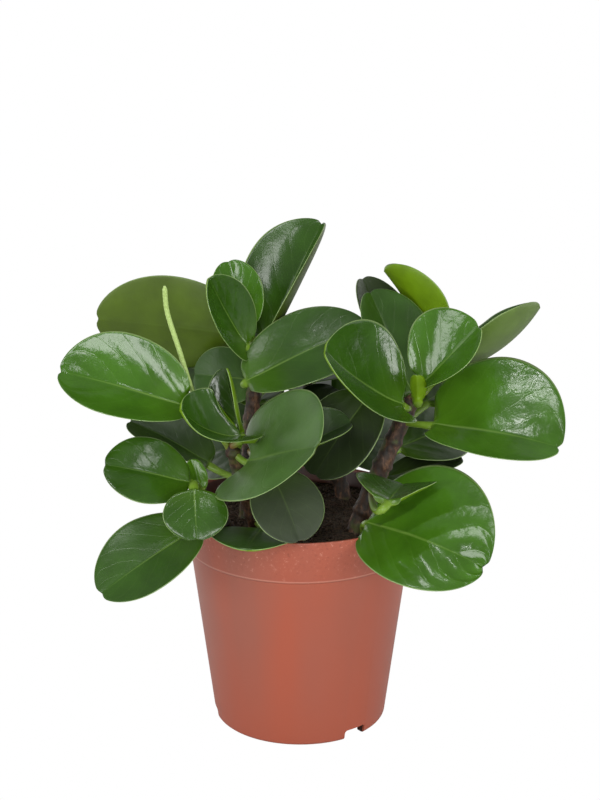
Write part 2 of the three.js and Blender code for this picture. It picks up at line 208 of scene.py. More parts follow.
# Pot
potSizes = {
    "height": 115.0,
    "rimRadius": 60.0,
    "footRadius": 44.2,
    "bandDepth": 22.5,
    "bandStep": 1.0,
    "wall": 1.4,
    "footRing": 5.0,
    "floorLift": 6.0,
    "floorThickness": 1.6,
    "centreFootRadius": 18.0,
    "centreFootSlope": 4.0,
    "centreFootInset": 0.9,
    "notchAngles": (-51, 69, 189),
    "notchReach": 12.0,
    "notchWidth": 13.0,
    "notchHeight": 5.4,
    "notchRounding": 1.6,
    "drainRadius": 4.0,
    "drainCircle": 31.0,
    "drainDepth": 8.0,
    "turnSteps": 192,
    "sharpAngle": 32,
    "cloudSize": 26.0,
    "cloudShift": 12.0,
    "cloudStretch": 0.12,
    "shadeBandFade": (12.0, 60.0),  # heights where the painted shade bands start to grow and are full
    "shadeBandAtFoot": 0.25,
    "speckSize": 1.6,
    "dustBand": (88.0, 112.0),  # the same for dust and spots
    "dustAmount": 0.6,
    "spotAmount": 0.7,
    "rubbedLift": 0.2,  # the rubbed line's height over the band's edge
    "rubbedLine": (0.6, 0.3),  # its outer and inner half width
    "rubbedAmount": 0.45,
    "insideDarkDepth": (1.0, 1.4),  # behind the wall's outer face
    "insideDarkTop": (114.6, 113.0),  # heights under the lip
    "insideDarkAmount": 0.9,
    "flowStretch": (12.0, 12.0, 260.0),  # with flowScale, marks about 28 mm long and 1.3 mm high
    "flowScale": 3.0,
    "colour": "#a5523b",
    # shade is the tone of the painted shade bands up the wall
    "shade": "#985645",
    "dust": "#6f3a2c",
    "splash": "#c98f7c",
    "insideDark": "#2a1610",
}


def wallRadius(z):
    return mix(potSizes["footRadius"], potSizes["rimRadius"] - potSizes["bandStep"], z / potSizes["height"])


# Injection-moulded polypropylene: one colour with a soft sheen, painted shade in cloudy dark bands up the
# wall, flow marks round the wall, under the rim some peat dust and a few dried water spots, and the inside
# wall darkened below the lip
def mouldedPolypropylene():
    p = potSizes
    material, add = newMaterial("injection moulded terracotta polypropylene")
    coord = add("TexCoord").outputs["Object"]
    z = add("SeparateXYZ", {"Vector": coord}).outputs["Z"]

    # Where a mask starts and where it is full
    def between(ends):
        return {"From Min": ends[0] / perMetre, "From Max": ends[1] / perMetre}

    # Painted shade: cloudy dark bands up the wall, faint at the foot
    tall = add("Mapping", {"Vector": coord, "Location": (p["cloudShift"] / perMetre, 0.0, 0.0),
                           "Scale": (1.0, 1.0, p["cloudStretch"])})
    cloud = add("TexNoise", {"Vector": tall, "Scale": perMetre / p["cloudSize"], "Detail": 1.0})
    streak = add("MapRange", {"Value": cloud, "From Min": 0.65, "From Max": 0.35})
    aboveFoot = add("MapRange", {"Value": z, **between(p["shadeBandFade"]), "To Min": p["shadeBandAtFoot"]})
    paintedShadeBands = add("Math", {0: streak, 1: aboveFoot}, operation="MULTIPLY")

    # Dust and water spots in the band under the rim, and a pale rubbed line along the band's edge
    nearRim = add("MapRange", {"Value": z, **between(p["dustBand"])})
    speck = add("TexNoise", {"Vector": coord, "Scale": perMetre / p["speckSize"],
                             "Detail": 4.0, "Roughness": 0.65})
    dustMask = add("MapRange", {"Value": speck, "From Min": 0.56, "From Max": 0.7, "To Max": p["dustAmount"]})
    dust = add("Math", {0: nearRim, 1: dustMask}, operation="MULTIPLY")
    spotMask = add("MapRange", {"Value": speck, "From Min": 0.4, "From Max": 0.33, "To Max": p["spotAmount"]})
    spots = add("Math", {0: nearRim, 1: spotMask}, operation="MULTIPLY")
    bandEdge = (p["height"] - p["bandDepth"] + p["bandStep"] + p["rubbedLift"]) / perMetre
    edgeGap = add("Math", {0: z, 1: bandEdge}, operation="SUBTRACT")
    edgeGap = add("Math", {0: edgeGap}, operation="ABSOLUTE")
    rubbed = add("MapRange", {"Value": edgeGap, **between(p["rubbedLine"]), "To Max": p["rubbedAmount"]})

    # The inside wall is darkened below the lip: deeper than the wall is thick, behind the cone of its outer
    # face
    flat = add("Mapping", {"Vector": coord, "Scale": (1.0, 1.0, 0.0)})
    radius = add("VectorMath", {0: flat}, operation="LENGTH")
    outer = add("MapRange", {"Value": z, "From Max": p["height"] / perMetre,
                             "To Min": p["footRadius"] / perMetre, "To Max": p["rimRadius"] / perMetre})
    depth = add("Math", {0: outer, 1: radius}, operation="SUBTRACT")
    inside = add("MapRange", {"Value": depth, **between(p["insideDarkDepth"])})
    belowLip = add("MapRange", {"Value": z, **between(p["insideDarkTop"]), "To Max": p["insideDarkAmount"]})
    insideDarkMask = add("Math", {0: inside, 1: belowLip}, operation="MULTIPLY")

    colour = linearColour(p["colour"])
    for mask, tone in ((paintedShadeBands, "shade"), (dust, "dust"), (spots, "splash"), (rubbed, "splash"),
                       (insideDarkMask, "insideDark")):
        colour = add("Mix", {0: mask, 6: colour, 7: linearColour(p[tone])}, data_type="RGBA")
    flow = add("Mapping", {"Vector": coord, "Scale": p["flowStretch"]})
    flowNoise = add("TexNoise", {"Vector": flow, "Scale": p["flowScale"], "Detail": 2.0})
    bump = add("Bump", {"Strength": 0.15, "Distance": 0.0001, "Height": flowNoise})
    surface = add("BsdfPrincipled", {"Base Color": colour, "Roughness": 0.38, "IOR": 1.49, "Normal": bump})
    add("OutputMaterial", {"Surface": surface})
    return material


# The wall's profile spun round, then its sharp turns rounded
def buildPot():
    p = potSizes
    bandLine = p["height"] - p["bandDepth"]
    floorTop = p["floorLift"] + p["floorThickness"]
    bandRadius = wallRadius(bandLine) + p["bandStep"]
    footEdge = p["centreFootRadius"] + p["centreFootSlope"]
    footInside = p["footRadius"] - p["footRing"]
    bm = bmesh.new()
    corners = [bm.verts.new((x, 0, z)) for x, z in (
        (0, 0),
        (p["centreFootRadius"], 0),
        (footEdge, p["floorLift"]),
        (footInside, p["floorLift"]),
        (footInside, 0),
        (p["footRadius"], 0),
        (wallRadius(bandLine), bandLine),
        (bandRadius, bandLine + p["bandStep"]),
        (p["rimRadius"], p["height"]),
        (p["rimRadius"] - p["wall"], p["height"]),
        (bandRadius - p["wall"], bandLine + p["bandStep"]),
        (wallRadius(bandLine) - p["wall"], bandLine),
        (wallRadius(floorTop) - p["wall"], floorTop),
        (footEdge - p["centreFootInset"], floorTop),
        (p["centreFootRadius"] - p["centreFootInset"], p["floorThickness"]),
        (0, p["floorThickness"]),
    )]
    for pair in zip(corners, corners[1:]):
        bm.edges.new(pair)
    spinProfile(bm, p["turnSteps"])

    # Each turn's radius and height, and how far it is rounded
    for radius, z, size in (
        (p["footRadius"], 0, 2.0),
        (wallRadius(floorTop) - p["wall"], floorTop, 2.0),
        (p["rimRadius"], p["height"], 0.65),
        (p["rimRadius"] - p["wall"], p["height"], 0.65),
        (bandRadius, bandLine + p["bandStep"], 0.35),
        (wallRadius(bandLine), bandLine, 0.3),
        (footInside, 0, 0.4),
        (p["centreFootRadius"], 0, 0.8),
    ):
        ring = [e for e in bm.edges if all(
            abs(v.co.z - z) < 0.01 and abs(math.hypot(v.co.x, v.co.y) - radius) < 0.02 for v in e.verts)]
        bmesh.ops.bevel(bm, geom=ring, offset=size, offset_type="OFFSET", segments=5,
                        profile=0.5, affect="EDGES", material=-1)
    return bm


# An arch for one notch with a drain hole above it, turned to its place round the foot
def buildDrainCutter():
    p = potSizes
    bm = bmesh.new()
    for angle in p["notchAngles"]:
        arch = bmesh.ops.create_cube(bm, size=1.0)["verts"]
        bmesh.ops.scale(bm, vec=(p["notchReach"], p["notchWidth"], 2 * p["notchHeight"]), verts=arch)
        topEdges = [e for e in dict.fromkeys(e for v in arch for e in v.link_edges)
                    if all(v.co.z > 0 for v in e.verts) and abs(e.verts[0].co.y - e.verts[1].co.y) < 0.01]
        bent = bmesh.ops.bevel(bm, geom=topEdges, offset=p["notchRounding"], offset_type="OFFSET",
                               segments=6, profile=0.5, affect="EDGES", material=-1)
        arch = list({v for v in arch if v.is_valid} | set(bent["verts"]))
        bmesh.ops.translate(bm, vec=(p["footRadius"], 0, 0), verts=arch)
        hole = bmesh.ops.create_cone(bm, cap_ends=True, segments=40, radius1=p["drainRadius"],
                                     radius2=p["drainRadius"], depth=p["drainDepth"])["verts"]
        bmesh.ops.translate(bm, vec=(p["drainCircle"], 0, p["floorLift"]), verts=hole)
        bmesh.ops.rotate(bm, cent=(0, 0, 0), matrix=Matrix.Rotation(math.radians(angle), 3, "Z"),
                         verts=arch + hole)
    return bm


pot = finishPiece("pot_shell", buildPot(), mouldedPolypropylene(), "pot")
drainCutter = newObject("drain cutter", buildDrainCutter())
drain = pot.modifiers.new("drain", "BOOLEAN")
drain.operation = "DIFFERENCE"
drain.solver = "EXACT"
drain.object = drainCutter
cutMesh = bpy.data.meshes.new_from_object(pot.evaluated_get(bpy.context.evaluated_depsgraph_get()))
pot.modifiers.clear()
pot.data = cutMesh
bpy.data.objects.remove(drainCutter)
for face in pot.data.polygons:
    face.use_smooth = True
pot.data.set_sharp_from_angle(angle=math.radians(potSizes["sharpAngle"]))
print("pot made")


# Soil
soilSizes = {
    "edgeHeight": 106.0,
    "mound": 3.0,
    "lumpHeight": 0.9,
    "grainHeight": 0.72,
    "clearance": 0.45,
    "overFloor": 0.3,
    "bottomSlope": 3.0,
    "turnSteps": 150,
    "ringStep": 1.1,
    "grainSize": 1.4,
    "crumbs": 1500,
    "crumbSize": (0.35, 1.7),
    "crumbReach": 54.5,
    "crumbLift": 0.25,
    "crumbStretch": (0.5, 1.3),
    "fibres": 190,
    "fibreLength": (4.0, 13.0),
    "fibreRadius": 0.16,
    "fibreReach": 52.0,
    "fibreLimit": 54.0,
    "fibreBend": 0.9,
    "fibreLift": (0.1, 1.6),
    "dark": "#241b15",
    "brown": "#5a4a3a",
    "fibreDark": "#2c1b12",
    "fibreColour": "#5c4030",
}


# The soil's radius at a height, clear of the wall
def soilRadius(z):
    return wallRadius(z) - potSizes["wall"] - soilSizes["clearance"]


# The top is a low mound with lumps and grains, smooth at its edge
def soilHeight(x, y):
    s = soilSizes
    share = min(1.0, math.hypot(x, y) / soilRadius(s["edgeHeight"]))
    fade = 1 - share ** 6
    lump = s["lumpHeight"] * (math.sin(x / 6 + 1) * math.cos(y / 8) + 0.6 * math.sin(x / 3.3 - y / 4.6))
    grain = noise.noise((x / 2.2, y / 2.2, 1.0)) + 0.6 * noise.noise((x / 0.9, y / 0.9, 4.0))
    return s["edgeHeight"] + s["mound"] * (1 - share * share) + fade * (lump + s["grainHeight"] * grain)


# Damp peat: nearly black with brown crumbs, no gloss, coarse grain
def dampPeat():
    s = soilSizes
    material, add = newMaterial("damp crumbly peat")
    grain = add("TexNoise", {"Vector": add("TexCoord").outputs["Object"], "Scale": perMetre / s["grainSize"],
                             "Detail": 6.0, "Roughness": 0.7})
    tint = add("ValToRGB", {"Fac": grain})
    for stop, place, tone in zip(tint.color_ramp.elements, (0.38, 0.72), ("dark", "brown")):
        stop.position = place
        stop.color = linearColour(s[tone])
    bump = add("Bump", {"Strength": 0.9, "Distance": 0.0008, "Height": grain})
    surface = add("BsdfPrincipled", {"Base Color": tint, "Roughness": 0.9, "Specular IOR Level": 0.25,
                                     "Normal": bump})
    add("OutputMaterial", {"Surface": surface})
    return material


# Dry plant fibre in the peat: brown, paler along the strand
def peatFibre():
    material, add = newMaterial("dry coir fibre")
    streak = add("TexNoise", {"Vector": add("TexCoord").outputs["Object"], "Scale": 300.0})  # 3.3 mm streaks
    tint = add("ValToRGB", {"Fac": streak})
    for stop, tone in zip(tint.color_ramp.elements, ("fibreDark", "fibreColour")):
        stop.color = linearColour(soilSizes[tone])
    add("OutputMaterial", {"Surface": add("BsdfPrincipled", {"Base Color": tint, "Roughness": 0.75})})
    return material


# One mass down to the pot's floor and into its centre foot, spun round, with its top made uneven
def buildSoil():
    s = soilSizes
    bottom = potSizes["floorLift"] + potSizes["floorThickness"] + s["overFloor"]
    slope = s["bottomSlope"]
    low = soilRadius(bottom + slope)
    edge = soilRadius(s["edgeHeight"])
    centre = potSizes["centreFootRadius"] - potSizes["centreFootInset"] - s["clearance"]
    centreBottom = potSizes["floorThickness"] + s["overFloor"]
    bm = bmesh.new()
    corners = [bm.verts.new((x, 0, z)) for x, z in (
        (0, centreBottom), (centre, centreBottom), (centre + potSizes["centreFootSlope"], bottom),
        (low - slope, bottom), (low, bottom + slope), (edge, s["edgeHeight"]), (0, s["edgeHeight"]))]
    chain = [bm.edges.new(pair) for pair in zip(corners, corners[1:])]
    bmesh.ops.subdivide_edges(bm, edges=[chain[-1]], cuts=int(edge / s["ringStep"]))
    spinProfile(bm, s["turnSteps"])
    for vert in bm.verts:
        if vert.co.z > s["edgeHeight"] - 0.01:
            vert.co.z = soilHeight(vert.co.x, vert.co.y)
    return bm


# A random place on the soil, spread evenly over a disc
def soilPlace(reach):
    angle = random.uniform(0, math.tau)
    reach *= math.sqrt(random.random())
    return reach * math.cos(angle), reach * math.sin(angle)


# Crumbs lie half sunk in the soil, most of them small
def buildCrumbs():
    s = soilSizes
    bm = bmesh.new()
    for i in range(s["crumbs"]):
        x, y = soilPlace(s["crumbReach"])
        size = mix(*s["crumbSize"], random.random() ** 2.5)
        crumb = bmesh.ops.create_icosphere(bm, subdivisions=1, radius=size)["verts"]
        bmesh.ops.scale(bm, vec=[random.uniform(*s["crumbStretch"]) for axis in range(3)], verts=crumb)
        turn = random.uniform(0, math.tau)
        matrix = Matrix.Rotation(turn, 3, Vector((random.random(), random.random(), 0.5)))
        bmesh.ops.rotate(bm, cent=(0, 0, 0), matrix=matrix, verts=crumb)
        bmesh.ops.translate(bm, vec=(x, y, soilHeight(x, y) + s["crumbLift"] * size), verts=crumb)
    return bm


# A thin bent strand: a narrow rod, bent to an arc and laid on the soil
def buildFibres():
    s = soilSizes
    radius, limit = s["fibreRadius"], s["fibreLimit"]
    bm = bmesh.new()
    for i in range(s["fibres"]):
        x, y = soilPlace(s["fibreReach"])
        length = random.uniform(*s["fibreLength"])
        heading = random.uniform(0, math.tau)
        bend = random.uniform(-s["fibreBend"], s["fibreBend"])
        lift = random.uniform(*s["fibreLift"])
        side = Vector((-math.sin(heading), math.cos(heading), 0))
        for vert in bmesh.ops.create_uvsphere(bm, u_segments=5, v_segments=8, radius=1.0)["verts"]:
            along = vert.co.z
            swing = heading + bend * along
            place = Vector((x, y, 0)) + Vector((math.cos(swing), math.sin(swing), 0)) * along * length / 2
            ground = soilHeight(clamp(place.x, -limit, limit), clamp(place.y, -limit, limit))
            place.z = ground + lift * (1 - along * along) + 0.1
            vert.co = place + side * vert.co.x * radius + Vector((0, 0, vert.co.y * radius))
    return bm


peat = dampPeat()
finishPiece("soil_bed", buildSoil(), peat, "soil")
finishPiece("soil_crumbs", buildCrumbs(), peat, None)
finishPiece("soil_fibres", buildFibres(), peatFibre(), None)
print("soil made")


# Stems: the path's four points make a cubic curve from the soil up, with the thickness at both ends
stemPieces = {
    "stem_left": {"radii": (4.2, 3),
        "path": ((-19, -16, 94), (-22, -24, 116), (-29, -34, 136), (-33, -39, 157))},
    "stem_tall": {"radii": (4.6, 3.2),
        "path": ((-27, -5, 94), (-25, -6, 130), (-27, -4, 160), (-20, 0, 190))},
    "stem_low": {"radii": (3.4, 2.6),
        "path": ((-27, -24, 94), (-32, -30, 112), (-42, -40, 122), (-48, -46, 135))},
    "stem_right": {"radii": (5.6, 3.8),
        "path": ((25, -24, 94), (31, -24, 122), (43, -18, 146), (56, -16, 176))},
    "stem_front": {"radii": (3, 2.4),
        "path": ((29, -32, 96), (31, -35, 106), (34, -36, 112), (36, -34, 117))},
    "stem_back": {"radii": (4.4, 3),
        "path": ((25, 20, 94), (24, 26, 120), (8, 34, 142), (4, 34, 168))},
}
stemFinish = {
    "around": 40,
    "rows": 110,
    "scarSpacing": 13.0,
    "scarSwell": 0.7,
    "ripple": 0.45,
    "rippleScale": 0.45,
    "rippleAround": 1.3,
    "topTaper": (0.55, 0.04),
    "crackSize": 3.0,
    "crackStretch": 0.35,
    "patchSize": 9.0,
    "corkDark": "#160f07",
    "cork": "#3a2413",
    "corkPale": "#755238",
    "green": "#42501a",
}


def bezier(path, t):
    a, b, c, d = (Vector(p) for p in path)
    s = 1 - t
    return a * s ** 3 + b * 3 * s * s * t + c * 3 * s * t * t + d * t ** 3


def bezierTangent(path, t):
    a, b, c, d = (Vector(p) for p in path)
    s = 1 - t
    return ((b - a) * s * s + (c - b) * 2 * s * t + (d - c) * t * t).normalized()


# A sphere stretched along a curve: its poles become the rod's two ends
def buildRod(pointAt, tangentAt, radiusAt, around, rows):
    bm = bmesh.new()
    for vert in bmesh.ops.create_uvsphere(bm, u_segments=around, v_segments=rows, radius=1.0)["verts"]:
        up, angle = onSphere(vert)
        t = clamp((up * rows - 1) / (rows - 2))
        along = tangentAt(t)
        side = (Vector((1, 0, 0)) - along * along.x).normalized()
        out = side.cross(along)
        pole = abs(vert.co.z) > 0.999999
        radius = 0 if pole else radiusAt(t, angle)
        vert.co = pointAt(t) + (side * math.cos(angle) + out * math.sin(angle)) * radius
    bmesh.ops.recalc_face_normals(bm, faces=bm.faces)
    return bm


# The cane swells at its leaf scars, ripples a little and narrows at its top
def buildStem(stem):
    f = stemFinish
    path = stem["path"]
    steps = 20
    length = sum((bezier(path, (i + 1) / steps) - bezier(path, i / steps)).length for i in range(steps))
    scars = length / f["scarSpacing"]

    def radiusAt(t, angle):
        swell = f["scarSwell"] * max(0, math.cos(math.tau * scars * t)) ** 3
        around = Vector((math.cos(angle), math.sin(angle), 0)) * f["rippleAround"]
        where = bezier(path, t) * f["rippleScale"] + around
        ripple = f["ripple"] * (noise.noise(where) + 0.5 * noise.noise(where * 2.7))
        return (mix(*stem["radii"], t) + swell + ripple) * taper(t, *f["topTaper"])

    return buildRod(partial(bezier, path), partial(bezierTangent, path), radiusAt, f["around"], f["rows"])


# Corky skin of an old stem: brown and cracked along its length, green where the skin is thin, matt
def corkySkin():
    f = stemFinish
    material, add = newMaterial("corky plant stem")
    coord = add("TexCoord").outputs["Object"]
    stretched = add("Mapping", {"Vector": coord, "Scale": (1.0, 1.0, f["crackStretch"])})
    crack = add("TexNoise", {"Vector": stretched, "Scale": perMetre / f["crackSize"],
                             "Detail": 6.0, "Roughness": 0.7})
    tint = add("ValToRGB", {"Fac": crack})
    stops = tint.color_ramp.elements
    stops.new(0.5)
    for stop, place, tone in zip(stops, (0.36, 0.52, 0.68), ("corkDark", "cork", "corkPale")):
        stop.position = place
        stop.color = linearColour(f[tone])
    patch = add("TexNoise", {"Vector": coord, "Scale": perMetre / f["patchSize"], "Detail": 2.0})
    patchMask = add("MapRange", {"Value": patch, "From Min": 0.52, "From Max": 0.64, "To Max": 0.8})
    skin = add("Mix", {0: patchMask, 6: tint, 7: linearColour(f["green"])}, data_type="RGBA")
    bump = add("Bump", {"Strength": 0.8, "Distance": 0.0006, "Height": crack})
    surface = add("BsdfPrincipled", {"Base Color": skin, "Roughness": 0.6, "Normal": bump})
    add("OutputMaterial", {"Surface": surface})
    return material


cork = corkySkin()
for name, stem in stemPieces.items():
    finishPiece(name + "_bark", buildStem(stem), cork, name)
print("stems made")


# Leaves: where the petiole leaves its stem, the blade's base and tip, its width, and in degrees the
# turn of its face, its droop and the curl of its halves at base and tip. The face and the back each
# take one of the greens below, bloom runs from glossy to matt, and quilt is how puckered the veins are.
# Lobe is how far the margin reaches back past the base, and lean and skew make the two sides differ.
# A leaf's row says what differs from the usual leaf
# The usual leaf's dark face is partly the leaf's own green and partly painted shade, for the leaves at the
# back and deep inside the plant
usualLeaf = {
    "roll": 0, "bend": 20, "cup": (25, 10), "lobe": 4.0, "lean": 0, "skew": 0,
    "face": "dark", "back": "moss", "bloom": 0.5, "quilt": 0,
}
leafPieces = {
    "leaf_top": {"on": "stem_tall", "at": 1, "base": (-17, 19, 191), "tip": (12, 33, 253),
        "width": 60, "roll": 13, "bend": 10, "cup": (100, 70),
        "face": "deep", "bloom": 0.25, "quilt": 0.08},
    "leaf_top_left": {"on": "stem_tall", "at": 0.99, "base": (-27, 5, 206), "tip": (-36, 15, 237),
        "width": 28, "roll": -30, "bend": 10, "cup": (60, 35),
        "face": "mid", "back": "lime", "bloom": 0.1, "quilt": 0.05},
    "leaf_top_scoop": {"on": "stem_tall", "at": 0.97, "base": (-27, -6, 199), "tip": (-44, -20, 236),
        "width": 31, "roll": -82, "bend": -15, "cup": (62, 48), "lobe": 10, "lean": -8,
        "face": "deep", "back": "lime", "bloom": 0.1, "quilt": 0.05},
    "leaf_middle_dark": {"on": "stem_tall", "at": 0.9, "base": (-26, -14, 182), "tip": (34, 0, 207),
        "width": 44, "roll": 40, "cup": (40, 15), "face": "deep", "bloom": 0.35},
    "leaf_top_bright": {"on": "stem_tall", "at": 0.95, "base": (-6, -3, 196), "tip": (1, 13, 210),
        "width": 14, "roll": 15, "bend": 10, "cup": (30, 20),
        "face": "fresh", "back": "lime", "bloom": 0.4},
    "leaf_left_pale": {"on": "stem_tall", "at": 0.93, "base": (-28, 14, 199), "tip": (-104, 24, 205),
        "width": 52, "roll": 80, "bend": 10, "face": "mid", "back": "olive"},
    "leaf_left_inner": {"on": "stem_tall", "at": 0.82, "base": (-22, 4, 178), "tip": (-54, 16, 178),
        "width": 31, "roll": -70, "cup": (30, 20), "face": "deep", "bloom": 0.6},
    "leaf_left_scoop": {"on": "stem_left", "at": 1, "base": (-28, -44, 163), "tip": (-56, -58, 182),
        "width": 42, "roll": -32, "bend": -60, "cup": (125, 25), "lobe": 6, "lean": -20,
        "face": "deep", "back": "lime", "bloom": 0.2},
    "leaf_left_upright": {"on": "stem_left", "at": 0.93, "base": (-29, -33, 163), "tip": (-36, -29, 194),
        "width": 26, "roll": -100, "bend": 0, "cup": (100, 80), "back": "lime", "bloom": 0.1},
    "leaf_front_big": {"on": "stem_left", "at": 0.96, "base": (-24, -46, 151), "tip": (8, -90, 173),
        "width": 68, "roll": 44, "bend": 10, "cup": (45, 15), "lobe": 26, "lean": -4,
        "face": "dusty", "back": "olive", "bloom": 0.65},
    "leaf_left_big": {"on": "stem_left", "at": 0.86, "base": (-55, -40, 177), "tip": (-114, -48, 197),
        "width": 55, "roll": -48, "bend": 15, "cup": (75, 50),
        "face": "mid", "back": "olive", "bloom": 0.1, "quilt": 0.1},
    "leaf_left_dark": {"on": "stem_left", "at": 0.7, "base": (-45, -25, 143), "tip": (-85, -15, 162),
        "width": 36, "roll": -15, "cup": (50, 25), "bloom": 0.6},
    "leaf_front_low": {"on": "stem_left", "at": 0.75, "base": (-13, -45, 144), "tip": (0, -69, 119),
        "width": 36, "roll": 10, "cup": (20, 10), "face": "slate", "bloom": 1},
    "leaf_rim": {"on": "stem_left", "at": 0.3, "base": (-19, -40, 114), "tip": (-25, -74, 117),
        "width": 44, "bend": 10, "cup": (15, 10), "face": "deep", "back": "lime", "bloom": 0.6},
    "leaf_low_dark": {"on": "stem_low", "at": 0.97, "base": (-53, -50, 142), "tip": (-93, -58, 154),
        "width": 35, "roll": -50, "cup": (35, 10), "lobe": 0,
        "face": "deep", "back": "olive", "bloom": 0.15},
    "leaf_low_round": {"on": "stem_low", "at": 0.9, "base": (-50, -63, 143), "tip": (-48, -80, 124),
        "width": 31, "cup": (20, 10), "lobe": 0, "face": "deep", "back": "lime", "bloom": 0.2},
    "leaf_low_left": {"on": "stem_low", "at": 0.7, "base": (-50, -54, 120), "tip": (-94, -78, 96),
        "width": 42, "roll": -30, "bend": 15, "cup": (40, 25), "face": "deep", "back": "olive"},
    "leaf_low_young": {"on": "stem_low", "at": 1, "base": (-48, -42, 137), "tip": (-53, -40, 151),
        "width": 11, "roll": -40, "bend": 0, "cup": (50, 40),
        "face": "fresh", "back": "lime", "bloom": 0.3},
    "leaf_centre_dark": {"on": "stem_right", "at": 0.9, "base": (34, -18, 176), "tip": (7, -38, 141),
        "width": 42, "roll": -20, "cup": (20, 10), "face": "shade", "bloom": 0.8},
    "leaf_centre_pale": {"on": "stem_tall", "at": 0.5, "base": (-1, -44, 157), "tip": (25, -40, 169),
        "width": 32, "roll": 20, "bend": 10, "cup": (70, 50), "back": "pale", "bloom": 0.6},
    "leaf_centre_back": {"on": "stem_tall", "at": 0.6, "base": (0, -6, 158), "tip": (18, 8, 173),
        "width": 26, "roll": 20, "bend": 10, "cup": (20, 10), "face": "shade", "bloom": 0.7},
    "leaf_right_scoop": {"on": "stem_right", "at": 0.93, "base": (50, -25, 173), "tip": (11, -46, 207),
        "width": 60, "roll": -48, "bend": -25, "cup": (72, 42), "lobe": 8, "lean": -10, "skew": 0.05,
        "face": "deep", "back": "lime", "bloom": 0.1, "quilt": 0.05},
    "leaf_right_cup": {"on": "stem_right", "at": 0.98, "base": (60, -22, 183), "tip": (86, -30, 215),
        "width": 48, "roll": 50, "bend": 0, "cup": (90, 35), "lobe": 0, "skew": -0.08,
        "face": "mid", "back": "lime", "bloom": 0.1, "quilt": 0.06},
    "leaf_right_young": {"on": "stem_right", "at": 1, "base": (57, -31, 178), "tip": (56, -36, 192),
        "width": 10, "bend": 0, "cup": (70, 60), "face": "fresh", "back": "lime", "bloom": 0.3},
    "leaf_right_back": {"on": "stem_right", "at": 0.9, "base": (55, -6, 173), "tip": (34, 8, 223),
        "width": 48, "roll": -12, "bend": 10, "cup": (50, 35), "face": "deep"},
    "leaf_right_behind": {"on": "stem_right", "at": 0.82, "base": (53, 14, 173), "tip": (31, 30, 225),
        "width": 38, "roll": -10, "bend": 10, "cup": (50, 35), "face": "slate"},
    "leaf_right_top": {"on": "stem_right", "at": 0.96, "base": (67, 18, 190), "tip": (42, 26, 231),
        "width": 54, "roll": 22, "cup": (95, 70), "face": "deep", "back": "lime", "bloom": 0.3},
    "leaf_right_pale": {"on": "stem_right", "at": 0.77, "base": (81, 4, 185), "tip": (120, 10, 216),
        "width": 58, "roll": -18, "bend": -40, "cup": (75, 55),
        "face": "deep", "back": "pale", "bloom": 0.4},
    "leaf_right_big": {"on": "stem_right", "at": 0.85, "base": (65, -28, 164), "tip": (124, -52, 160),
        "width": 68, "roll": 27, "cup": (45, 30), "lobe": 12, "skew": -0.25,
        "face": "mid", "back": "lime", "bloom": 0.15, "quilt": 0.08},
    "leaf_right_fold": {"on": "stem_right", "at": 0.42, "base": (45, 6, 125), "tip": (84, 14, 133),
        "width": 20, "roll": 20, "cup": (40, 20), "face": "shade", "bloom": 0.6},
    "leaf_right_low_cup": {"on": "stem_right", "at": 0.42, "base": (41, -70, 139), "tip": (50, -46, 140),
        "width": 43, "bend": 10, "cup": (60, 30), "face": "deep", "back": "lime", "bloom": 0.4},
    "leaf_right_low": {"on": "stem_front", "at": 0.5, "base": (33, -44, 119), "tip": (87, -80, 110),
        "width": 66, "roll": 42, "bend": 45, "cup": (30, 20), "skew": -0.15,
        "face": "mid", "bloom": 0.2, "quilt": 0.6},
    "leaf_back_tall_low": {"on": "stem_tall", "at": 0.72, "base": (-24, 16, 162), "tip": (-30, 60, 162),
        "width": 42, "quilt": 0.1},
    "leaf_back_tall_left": {"on": "stem_tall", "at": 0.76, "base": (-42, 30, 171), "tip": (-84, 56, 178),
        "width": 44, "roll": -30, "quilt": 0.1},
    "leaf_back_tall_right": {"on": "stem_tall", "at": 0.74, "base": (-12, 14, 174), "tip": (29, 44, 176),
        "width": 40, "roll": 10, "quilt": 0.1},
    "leaf_back_top": {"on": "stem_back", "at": 1, "base": (6, 46, 166), "tip": (12, 82, 190),
        "width": 40, "cup": (30, 15), "quilt": 0.1},
    "leaf_back_left": {"on": "stem_back", "at": 0.95, "base": (-12, 48, 150), "tip": (-52, 82, 154),
        "width": 44, "roll": -40, "quilt": 0.1},
    "leaf_back_right": {"on": "stem_back", "at": 0.9, "base": (20, 44, 156), "tip": (62, 74, 164),
        "width": 42, "roll": 40, "quilt": 0.1},
    "leaf_back_middle": {"on": "stem_back", "at": 0.75, "base": (6, 50, 156), "tip": (10, 98, 152),
        "width": 46, "bend": 25, "quilt": 0.1},
    "leaf_back_low_left": {"on": "stem_back", "at": 0.5, "base": (-14, 40, 130), "tip": (-53, 57, 121),
        "width": 50, "roll": -30, "bend": 25, "cup": (20, 10), "quilt": 0.1},
    "leaf_back_low_right": {"on": "stem_back", "at": 0.55, "base": (18, 44, 132), "tip": (60, 74, 123),
        "width": 50, "roll": 42, "bend": 25, "cup": (20, 10), "quilt": 0.1},
    "leaf_back_side": {"on": "stem_right", "at": 0.74, "base": (64, 4, 166), "tip": (98, 44, 172),
        "width": 42, "roll": 15, "quilt": 0.1},
    "leaf_back_side_low": {"on": "stem_right", "at": 0.58, "base": (50, 4, 142), "tip": (84, 42, 142),
        "width": 40, "roll": 35, "quilt": 0.1},
}

